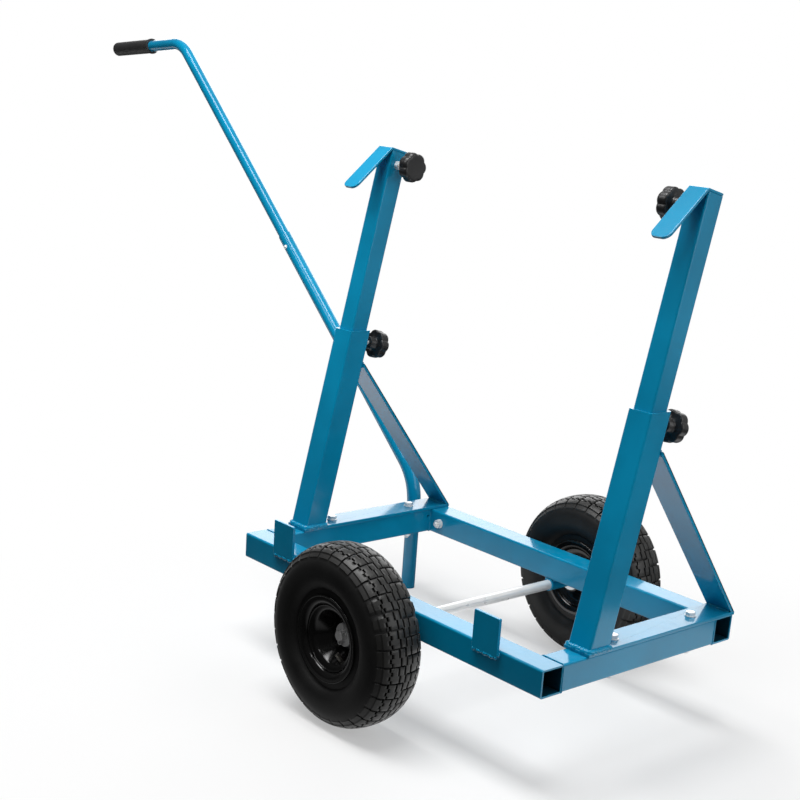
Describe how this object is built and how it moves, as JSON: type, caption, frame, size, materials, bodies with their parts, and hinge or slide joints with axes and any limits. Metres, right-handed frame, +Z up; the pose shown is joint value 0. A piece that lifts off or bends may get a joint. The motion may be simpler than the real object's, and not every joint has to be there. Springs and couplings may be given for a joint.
{
  "type": "drywall cart",
  "caption": "Hand-pulled sheet-material cart: welded square-tube frame on a wheeled axle, leaning telescopic uprights with hooks, and a bent pull handle with a parking leg.",
  "frame": {"origin": "On the ground below the middle of the cart's length, handle included, on the centre line between the wheels.", "axes": "X runs along the rails, with the pull handle at the -X end; Y runs along the axle from the side with the stop tabs towards the side with the handle; Z is up."},
  "size_m": [1.7888, 0.6006, 0.941],
  "materials": {
    "blue_coat": "glossy teal-blue powder coat over welded steel tube",
    "zinc": "bright zinc-plated steel",
    "tyre": "matt black block-tread rubber",
    "black_enamel": "gloss black enamel on pressed steel",
    "valve_brass": "plated brass valve stem",
    "knob_plastic": "black moulded plastic with a slight sheen",
    "grip_rubber": "black rubber sleeve with a fine grain"
  },
  "bodies": {
    "frame": {"front_rail": "blue_coat", "rear_rail": "blue_coat", "left_side_member": "blue_coat", "right_side_member": "blue_coat", "left_stop": "blue_coat", "right_stop": "blue_coat", "front_axle_sleeve": "blue_coat", "rear_axle_sleeve": "blue_coat", "axle": "zinc", "axle_washers": "zinc", "split_pins": "zinc", "left_base_plate": "blue_coat", "right_base_plate": "blue_coat", "left_post": "blue_coat", "right_post": "blue_coat", "left_brace": "blue_coat", "right_brace": "blue_coat", "base_bolts": "zinc", "base_washers": "zinc", "base_nuts": "zinc", "post_nuts": "zinc", "handle_stub": "blue_coat", "handle_lower": "blue_coat", "handle_upper": "blue_coat", "handle_grip": "grip_rubber", "stub_bolt": "zinc", "stub_washers": "zinc", "stub_nut": "zinc"},
    "front_wheel": {"front_tyre": "tyre", "front_rim": "black_enamel", "front_hub": "black_enamel", "front_bearings": "zinc", "front_valve": "valve_brass"},
    "rear_wheel": {"rear_tyre": "tyre", "rear_rim": "black_enamel", "rear_hub": "black_enamel", "rear_bearings": "zinc", "rear_valve": "valve_brass"},
    "left_mast": {"left_mast": "blue_coat", "left_mast_nut": "zinc"},
    "left_hook": {"left_hook": "blue_coat", "left_hook_stem": "blue_coat"},
    "left_post_knob": {"left_post_knob": "knob_plastic", "left_post_stud": "zinc"},
    "left_mast_knob": {"left_mast_knob": "knob_plastic", "left_mast_stud": "zinc"},
    "right_mast": {"right_mast": "blue_coat", "right_mast_nut": "zinc"},
    "right_hook": {"right_hook": "blue_coat", "right_hook_stem": "blue_coat"},
    "right_post_knob": {"right_post_knob": "knob_plastic", "right_post_stud": "zinc"},
    "right_mast_knob": {"right_mast_knob": "knob_plastic", "right_mast_stud": "zinc"},
    "snap_button": {"snap_button": "zinc", "button_spring": "zinc"}
  },
  "joints": [
    {"name": "front_wheel_spin", "type": "hinge", "parent": "frame", "child": "front_wheel", "pos_m": [0.56136, -0.2573, 0.134], "axis": [0, 1, 0], "continuous": true},
    {"name": "rear_wheel_spin", "type": "hinge", "parent": "frame", "child": "rear_wheel", "pos_m": [0.56136, 0.2573, 0.134], "axis": [0, 1, 0], "continuous": true},
    {"name": "left_mast_slide", "type": "slide", "parent": "frame", "child": "left_mast", "axis": [0, 0.2164, 0.9763], "range_m": [-0.12, 0.11]},
    {"name": "left_hook_slide", "type": "slide", "parent": "left_mast", "child": "left_hook", "axis": [0, 0.2164, 0.9763], "range_m": [0, 0.09]},
    {"name": "left_post_knob_turn", "type": "hinge", "parent": "frame", "child": "left_post_knob", "pos_m": [0.25136, -0.00517, 0.48605], "axis": [0, 0.9763, -0.2164], "range_deg": [0, 720]},
    {"name": "left_mast_knob_turn", "type": "hinge", "parent": "left_mast", "child": "left_mast_knob", "pos_m": [0.26736, 0.03612, 0.76472], "axis": [1, 0, 0], "range_deg": [0, 720]},
    {"name": "right_mast_slide", "type": "slide", "parent": "frame", "child": "right_mast", "axis": [0, 0.2164, 0.9763], "range_m": [-0.12, 0.11]},
    {"name": "right_hook_slide", "type": "slide", "parent": "right_mast", "child": "right_hook", "axis": [0, 0.2164, 0.9763], "range_m": [0, 0.09]},
    {"name": "right_post_knob_turn", "type": "hinge", "parent": "frame", "child": "right_post_knob", "pos_m": [0.87136, -0.00517, 0.48605], "axis": [0, 0.9763, -0.2164], "range_deg": [0, 720]},
    {"name": "right_mast_knob_turn", "type": "hinge", "parent": "right_mast", "child": "right_mast_knob", "pos_m": [0.85536, 0.03612, 0.76472], "axis": [-1, 0, 0], "range_deg": [0, 720]},
    {"name": "snap_button_press", "type": "slide", "parent": "frame", "child": "snap_button", "axis": [0, 1, 0], "range_m": [0, 0.0055], "stiffness_N_per_m": 1500, "springref_m": -0.002}
  ]
}
